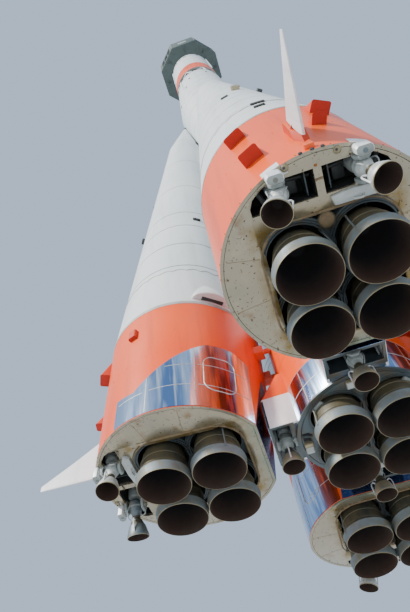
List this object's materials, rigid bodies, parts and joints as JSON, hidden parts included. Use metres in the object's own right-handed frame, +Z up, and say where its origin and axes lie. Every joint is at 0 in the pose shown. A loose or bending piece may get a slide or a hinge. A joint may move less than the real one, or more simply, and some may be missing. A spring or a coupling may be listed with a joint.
{
  "type": "half-scale four-booster space rocket",
  "caption": "Half-scale space rocket with strap-on boosters round a core, clustered engine bells, swinging steering chambers, air rudders, folding grid fins and an escape tower.",
  "frame": {"origin": "on the core's axis at the exit plane of the main nozzles, which is the plane that it stands on", "axes": "+Z up along the core, +X towards the right booster, -Y towards the front booster"},
  "size_m": [5.12, 5.12, 25.375],
  "materials": {
    "orange_paint": "satin orange paint, weathered",
    "orange_aluminium": "aluminium under satin orange paint, weathered",
    "white_paint": "aluminium under satin off-white paint with faint streaks",
    "base_plate": "dusty beige, rust-stained",
    "bell_metal": "blue-grey heat-stained steel",
    "chamber_metal": "grey-brown heat-stained steel",
    "frame_steel": "dark grey paint",
    "skirt_paint": "aluminium under matt dark grey-green paint",
    "rudder_paint": "satin white paint",
    "skirt_shell": "glass-fibre sandwich under matt dark grey-green paint",
    "nose_paint": "glass-fibre sandwich under satin off-white paint"
  },
  "bodies": {
    "root": {"right_booster_cone": "white_paint", "right_booster_tail": "orange_paint", "right_booster_base_plate": "base_plate", "right_booster_engine": "bell_metal", "far_booster_cone": "white_paint", "far_booster_tail": "orange_paint", "far_booster_base_plate": "base_plate", "far_booster_engine": "bell_metal", "left_booster_cone": "white_paint", "left_booster_tail": "orange_paint", "left_booster_base_plate": "base_plate", "left_booster_engine": "bell_metal", "front_booster_cone": "white_paint", "front_booster_tail": "orange_paint", "front_booster_base_plate": "base_plate", "front_booster_engine": "bell_metal", "core_tail": "orange_paint", "core_base_plate": "base_plate", "core_engine": "bell_metal", "core_lower_tank": "white_paint", "core_upper_tank": "white_paint", "core_hanger_right": "frame_steel", "core_hanger_far": "frame_steel", "core_hanger_left": "frame_steel", "core_hanger_front": "frame_steel", "lattice_interstage": "frame_steel", "third_stage_engine": "bell_metal", "third_stage_aft_ring": "orange_aluminium", "third_stage_tank": "white_paint", "fairing_skirt": "skirt_shell", "fairing": "nose_paint", "escape_tower": "white_paint"},
    "right_rudder": {"right_air_rudder": "rudder_paint"},
    "right_chamber_a": {"right_steering_chamber_a": "chamber_metal"},
    "right_chamber_b": {"right_steering_chamber_b": "chamber_metal"},
    "far_rudder": {"far_air_rudder": "rudder_paint"},
    "far_chamber_a": {"far_steering_chamber_a": "chamber_metal"},
    "far_chamber_b": {"far_steering_chamber_b": "chamber_metal"},
    "left_rudder": {"left_air_rudder": "rudder_paint"},
    "left_chamber_a": {"left_steering_chamber_a": "chamber_metal"},
    "left_chamber_b": {"left_steering_chamber_b": "chamber_metal"},
    "front_rudder": {"front_air_rudder": "rudder_paint"},
    "front_chamber_a": {"front_steering_chamber_a": "chamber_metal"},
    "front_chamber_b": {"front_steering_chamber_b": "chamber_metal"},
    "core_chamber_right": {"core_steering_chamber_right": "chamber_metal"},
    "core_chamber_far": {"core_steering_chamber_far": "chamber_metal"},
    "core_chamber_left": {"core_steering_chamber_left": "chamber_metal"},
    "core_chamber_front": {"core_steering_chamber_front": "chamber_metal"},
    "grid_fin_1_leaf": {"grid_fin_1": "skirt_paint"},
    "grid_fin_2_leaf": {"grid_fin_2": "skirt_paint"},
    "grid_fin_3_leaf": {"grid_fin_3": "skirt_paint"},
    "grid_fin_4_leaf": {"grid_fin_4": "skirt_paint"}
  },
  "joints": [
    {"name": "right_rudder_turn", "type": "hinge", "parent": "root", "child": "right_rudder", "pos_m": [2.05, 0, 0.625], "axis": [1, 0, 0], "range_deg": [-25, 25]},
    {"name": "right_chamber_a_swing", "type": "hinge", "parent": "root", "child": "right_chamber_a", "pos_m": [1.845, -0.2275, 0.251], "axis": [1, 0, 0], "range_deg": [-31, 59]},
    {"name": "right_chamber_b_swing", "type": "hinge", "parent": "root", "child": "right_chamber_b", "pos_m": [1.845, 0.2275, 0.251], "axis": [1, 0, 0], "range_deg": [-59, 31]},
    {"name": "far_rudder_turn", "type": "hinge", "parent": "root", "child": "far_rudder", "pos_m": [0, 2.05, 0.625], "axis": [0, 1, 0], "range_deg": [-25, 25]},
    {"name": "far_chamber_a_swing", "type": "hinge", "parent": "root", "child": "far_chamber_a", "pos_m": [0.2275, 1.845, 0.251], "axis": [0, 1, 0], "range_deg": [-31, 59]},
    {"name": "far_chamber_b_swing", "type": "hinge", "parent": "root", "child": "far_chamber_b", "pos_m": [-0.2275, 1.845, 0.251], "axis": [0, 1, 0], "range_deg": [-62.4, 27.6]},
    {"name": "left_rudder_turn", "type": "hinge", "parent": "root", "child": "left_rudder", "pos_m": [-2.05, 0, 0.625], "axis": [-1, 0, 0], "range_deg": [-25, 25]},
    {"name": "left_chamber_a_swing", "type": "hinge", "parent": "root", "child": "left_chamber_a", "pos_m": [-1.845, 0.2275, 0.251], "axis": [-1, 0, 0], "range_deg": [-27.4, 62.6]},
    {"name": "left_chamber_b_swing", "type": "hinge", "parent": "root", "child": "left_chamber_b", "pos_m": [-1.845, -0.2275, 0.251], "axis": [-1, 0, 0], "range_deg": [-58.1, 31.9]},
    {"name": "front_rudder_turn", "type": "hinge", "parent": "root", "child": "front_rudder", "pos_m": [0, -2.05, 0.625], "axis": [0, -1, 0], "range_deg": [-25, 25]},
    {"name": "front_chamber_a_swing", "type": "hinge", "parent": "root", "child": "front_chamber_a", "pos_m": [-0.2275, -1.845, 0.251], "axis": [0, -1, 0], "range_deg": [-30.5, 59.5]},
    {"name": "front_chamber_b_swing", "type": "hinge", "parent": "root", "child": "front_chamber_b", "pos_m": [0.2275, -1.845, 0.251], "axis": [0, -1, 0], "range_deg": [-55.7, 34.3]},
    {"name": "core_chamber_right_swing", "type": "hinge", "parent": "root", "child": "core_chamber_right", "pos_m": [0.5875, 0, 0.251], "axis": [1, 0, 0], "range_deg": [-45, 45]},
    {"name": "core_chamber_far_swing", "type": "hinge", "parent": "root", "child": "core_chamber_far", "pos_m": [0, 0.5875, 0.251], "axis": [0, 1, 0], "range_deg": [-45, 45]},
    {"name": "core_chamber_left_swing", "type": "hinge", "parent": "root", "child": "core_chamber_left", "pos_m": [-0.5875, 0, 0.251], "axis": [-1, 0, 0], "range_deg": [-45, 45]},
    {"name": "core_chamber_front_swing", "type": "hinge", "parent": "root", "child": "core_chamber_front", "pos_m": [0, -0.5875, 0.251], "axis": [0, -1, 0], "range_deg": [-45, 45]},
    {"name": "grid_fin_1_fold", "type": "hinge", "parent": "root", "child": "grid_fin_1_leaf", "pos_m": [0.67882, 0.67882, 17.455], "axis": [-0.7071, 0.7071, 0], "range_deg": [0, 90]},
    {"name": "grid_fin_2_fold", "type": "hinge", "parent": "root", "child": "grid_fin_2_leaf", "pos_m": [-0.67882, 0.67882, 17.455], "axis": [-0.7071, -0.7071, 0], "range_deg": [0, 90]},
    {"name": "grid_fin_3_fold", "type": "hinge", "parent": "root", "child": "grid_fin_3_leaf", "pos_m": [-0.67882, -0.67882, 17.455], "axis": [0.7071, -0.7071, 0], "range_deg": [0, 90]},
    {"name": "grid_fin_4_fold", "type": "hinge", "parent": "root", "child": "grid_fin_4_leaf", "pos_m": [0.67882, -0.67882, 17.455], "axis": [0.7071, 0.7071, 0], "range_deg": [0, 90]}
  ]
}
